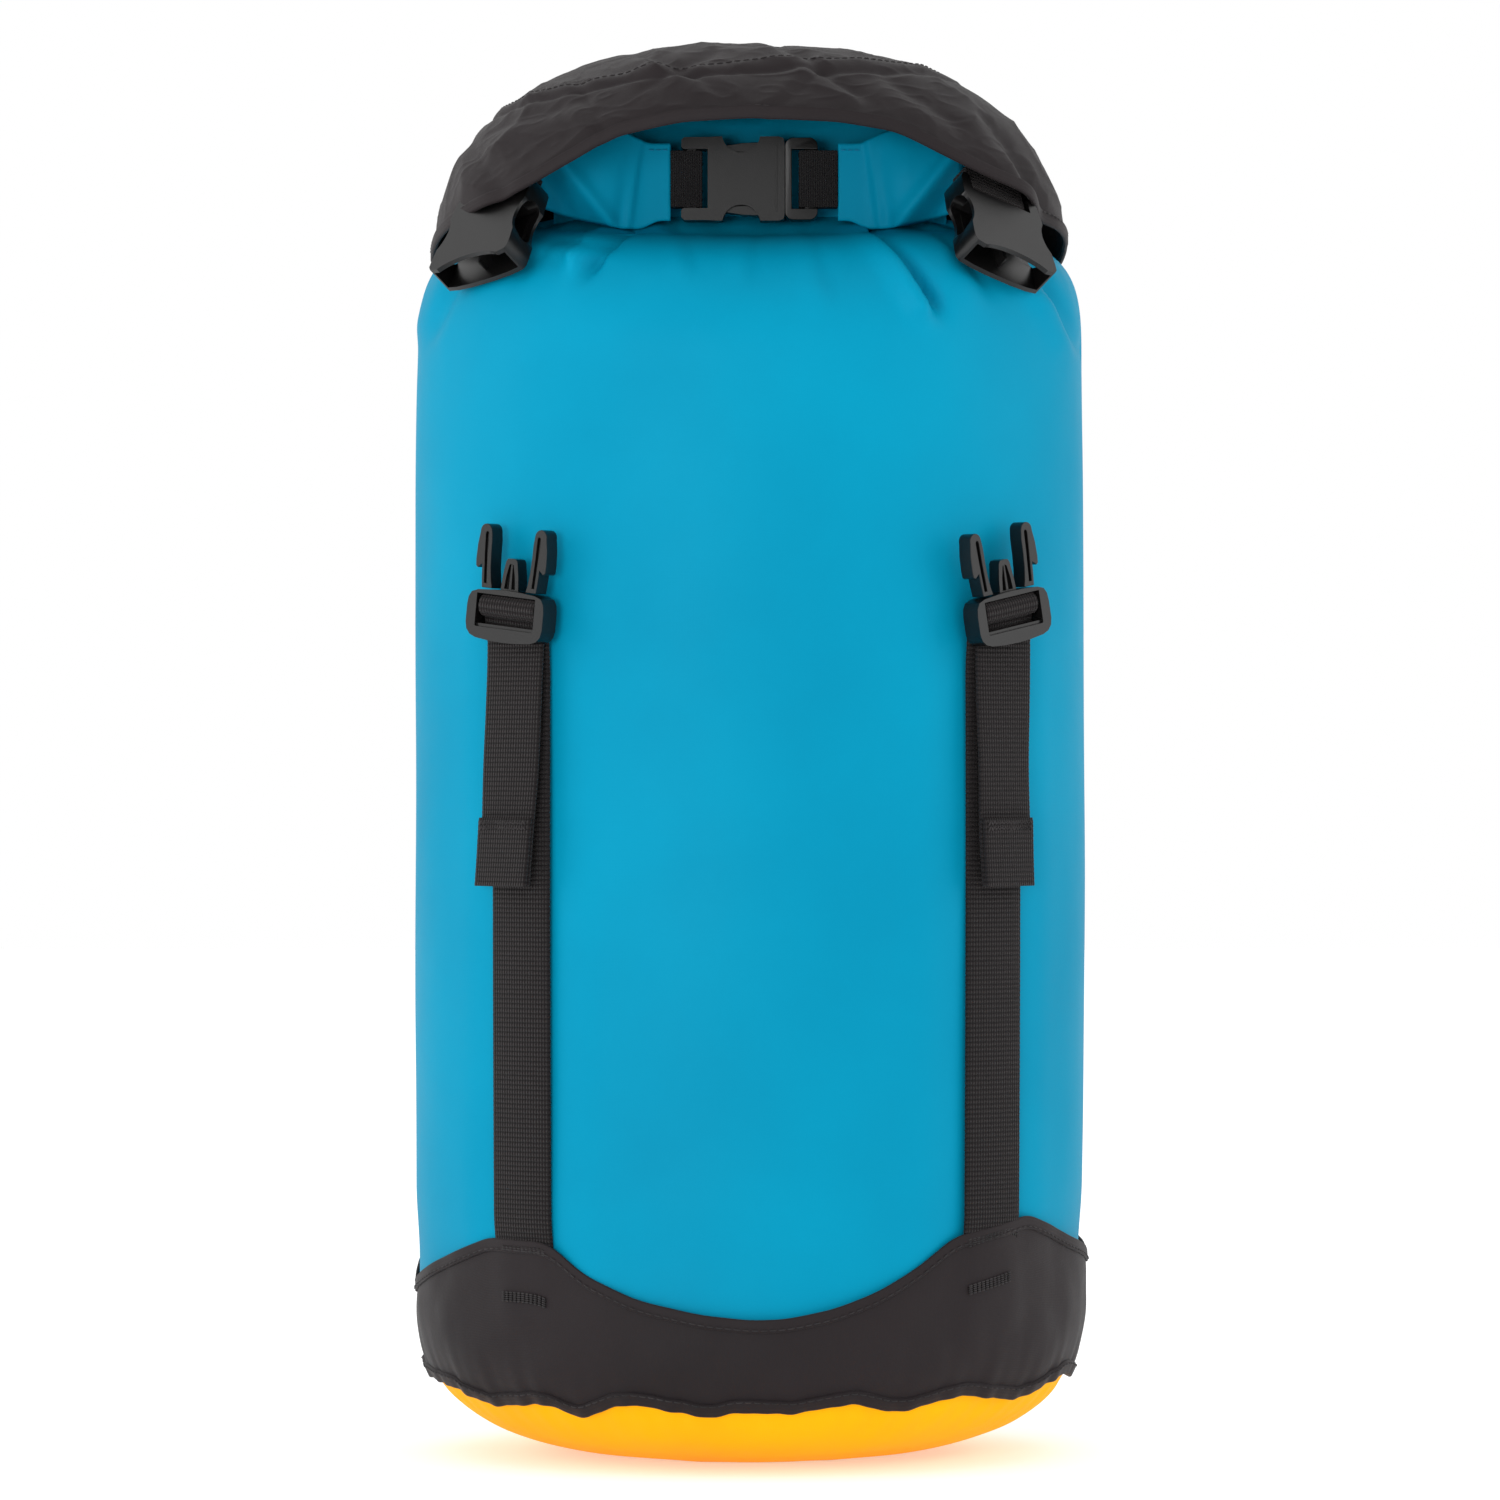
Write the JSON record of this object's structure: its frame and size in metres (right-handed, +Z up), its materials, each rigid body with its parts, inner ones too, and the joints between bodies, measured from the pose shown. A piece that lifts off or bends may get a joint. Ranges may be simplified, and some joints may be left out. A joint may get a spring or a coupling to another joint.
{
  "type": "compression sack",
  "caption": "Roll-top compression sack with a domed strap-down lid, side-release buckles, adjusters and a banded round base.",
  "frame": {"origin": "centre of the flat patch under the base that the sack stands on", "axes": "+Z up the sack, -Y towards the front with the open clips, +X to the right seen from the front"},
  "size_m": [0.239, 0.208, 0.5],
  "materials": {
    "sack_fabric": "satin",
    "base_fabric": "satin",
    "black_fabric": "matte",
    "webbing": "matte",
    "thread": "matte",
    "buckle": "satin",
    "stiffener": "satin"
  },
  "bodies": {
    "base": {"base_cup": "base_fabric", "body_fabric_lower": "sack_fabric", "body_fabric_upper": "sack_fabric", "base_band": "black_fabric", "base_band_elastic_hem": "black_fabric", "strap_bartacks": "thread", "strap_front_left": "webbing", "strap_front_right": "webbing", "strap_rear_left": "webbing", "strap_rear_right": "webbing"},
    "top": {"shoulder": "sack_fabric", "rolled_mouth": "sack_fabric", "mouth_stiffener": "stiffener", "roll_tab_left": "sack_fabric", "closure_socket": "buckle", "closure_webbing_left": "webbing", "ladder_lock_left": "buckle", "ladder_webbing_left": "webbing", "strap_tail_rear_left": "webbing", "strap_tail_hem_rear_left": "webbing", "lid_tab_rear_left": "webbing", "ladder_lock_right": "buckle", "ladder_webbing_right": "webbing", "strap_tail_rear_right": "webbing", "strap_tail_hem_rear_right": "webbing", "lid_tab_rear_right": "webbing"},
    "closure_plug": {"closure_plug": "buckle", "closure_webbing_right": "webbing", "roll_tab_right": "sack_fabric"},
    "closure_prong_upper": {"closure_prong_upper": "buckle"},
    "closure_prong_lower": {"closure_prong_lower": "buckle"},
    "lid": {"lid_skirt": "black_fabric", "lid_hem_binding": "black_fabric", "lid_top_panel": "black_fabric"},
    "clip_left": {"clip_socket_left": "buckle", "clip_tab_left": "webbing"},
    "adjuster_left": {"adjuster_frame_left": "buckle", "adjuster_webbing_left": "webbing", "strap_tail_left": "webbing", "strap_tail_hem_left": "webbing"},
    "latch_prong_left_a": {"latch_prong_left_a": "buckle"},
    "latch_prong_left_b": {"latch_prong_left_b": "buckle"},
    "clip_right": {"clip_socket_right": "buckle", "clip_tab_right": "webbing"},
    "adjuster_right": {"adjuster_frame_right": "buckle", "adjuster_webbing_right": "webbing", "strap_tail_right": "webbing", "strap_tail_hem_right": "webbing"},
    "latch_prong_right_a": {"latch_prong_right_a": "buckle"},
    "latch_prong_right_b": {"latch_prong_right_b": "buckle"}
  },
  "joints": [
    {"name": "compress", "type": "slide", "parent": "base", "child": "top", "axis": [0, 0, 1], "range_m": [-0.15, 0], "stiffness_N_per_m": 60, "springref_m": 0.12, "deforming": ["body_fabric_upper", "strap_rear_left", "strap_rear_right"]},
    {"name": "lid_open", "type": "hinge", "parent": "top", "child": "lid", "pos_m": [0, 0.1045, 0.399], "axis": [-1, 0, 0], "range_deg": [0, 100]},
    {"name": "closure_release", "type": "slide", "parent": "top", "child": "closure_plug", "axis": [1, 0, 0], "range_m": [0, 0.028], "deforming": ["roll_tab_right"]},
    {"name": "closure_pinch_upper", "type": "hinge", "parent": "closure_plug", "child": "closure_prong_upper", "pos_m": [0.012, -0.031, 0.4586], "axis": [0, -1, 0], "range_deg": [0, 5], "stiffness_Nm_per_rad": 0.05, "springref_deg": -2.86},
    {"name": "closure_pinch_lower", "type": "hinge", "parent": "closure_plug", "child": "closure_prong_lower", "pos_m": [0.012, -0.031, 0.4434], "axis": [0, -1, 0], "range_deg": [-5, 0], "stiffness_Nm_per_rad": 0.05, "springref_deg": 2.86},
    {"name": "clip_swing_left", "type": "hinge", "parent": "lid", "child": "clip_left", "pos_m": [-0.08398, -0.04388, 0.44879], "axis": [-0.7742, 0.6069, -0.1797], "range_deg": [0, 10]},
    {"name": "adjust_left", "type": "slide", "parent": "base", "child": "adjuster_left", "axis": [0, 0, 1], "range_m": [-0.09, 0], "deforming": ["strap_front_left"]},
    {"name": "pinch_left_a", "type": "hinge", "parent": "adjuster_left", "child": "latch_prong_left_a", "pos_m": [-0.07286, -0.09143, 0.30358], "axis": [-0.5928, -0.8053, 0], "range_deg": [0, 5], "stiffness_Nm_per_rad": 0.05, "springref_deg": -2.86},
    {"name": "pinch_left_b", "type": "hinge", "parent": "adjuster_left", "child": "latch_prong_left_b", "pos_m": [-0.08982, -0.07895, 0.30602], "axis": [-0.5928, -0.8053, 0], "range_deg": [-5, 0], "stiffness_Nm_per_rad": 0.05, "springref_deg": 2.86},
    {"name": "clip_swing_right", "type": "hinge", "parent": "lid", "child": "clip_right", "pos_m": [0.08267, -0.04784, 0.44773], "axis": [-0.7972, -0.5243, 0.2992], "range_deg": [0, 10]},
    {"name": "adjust_right", "type": "slide", "parent": "base", "child": "adjuster_right", "axis": [0, 0, 1], "range_m": [-0.09, 0], "deforming": ["strap_front_right"]},
    {"name": "pinch_right_a", "type": "hinge", "parent": "adjuster_right", "child": "latch_prong_right_a", "pos_m": [0.09538, -0.07374, 0.30682], "axis": [0.6424, -0.7664, 0], "range_deg": [0, 5], "stiffness_Nm_per_rad": 0.05, "springref_deg": -2.86},
    {"name": "pinch_right_b", "type": "hinge", "parent": "adjuster_right", "child": "latch_prong_right_b", "pos_m": [0.07943, -0.08711, 0.30277], "axis": [0.6424, -0.7664, 0], "range_deg": [-5, 0], "stiffness_Nm_per_rad": 0.05, "springref_deg": 2.86}
  ],
  "couplings": [
    {"joint": "closure_pinch_lower", "follows": "closure_pinch_upper", "ratio": -1},
    {"joint": "adjust_left", "follows": "compress", "ratio": 0.6},
    {"joint": "pinch_left_b", "follows": "pinch_left_a", "ratio": -1},
    {"joint": "adjust_right", "follows": "compress", "ratio": 0.6},
    {"joint": "pinch_right_b", "follows": "pinch_right_a", "ratio": -1}
  ]
}
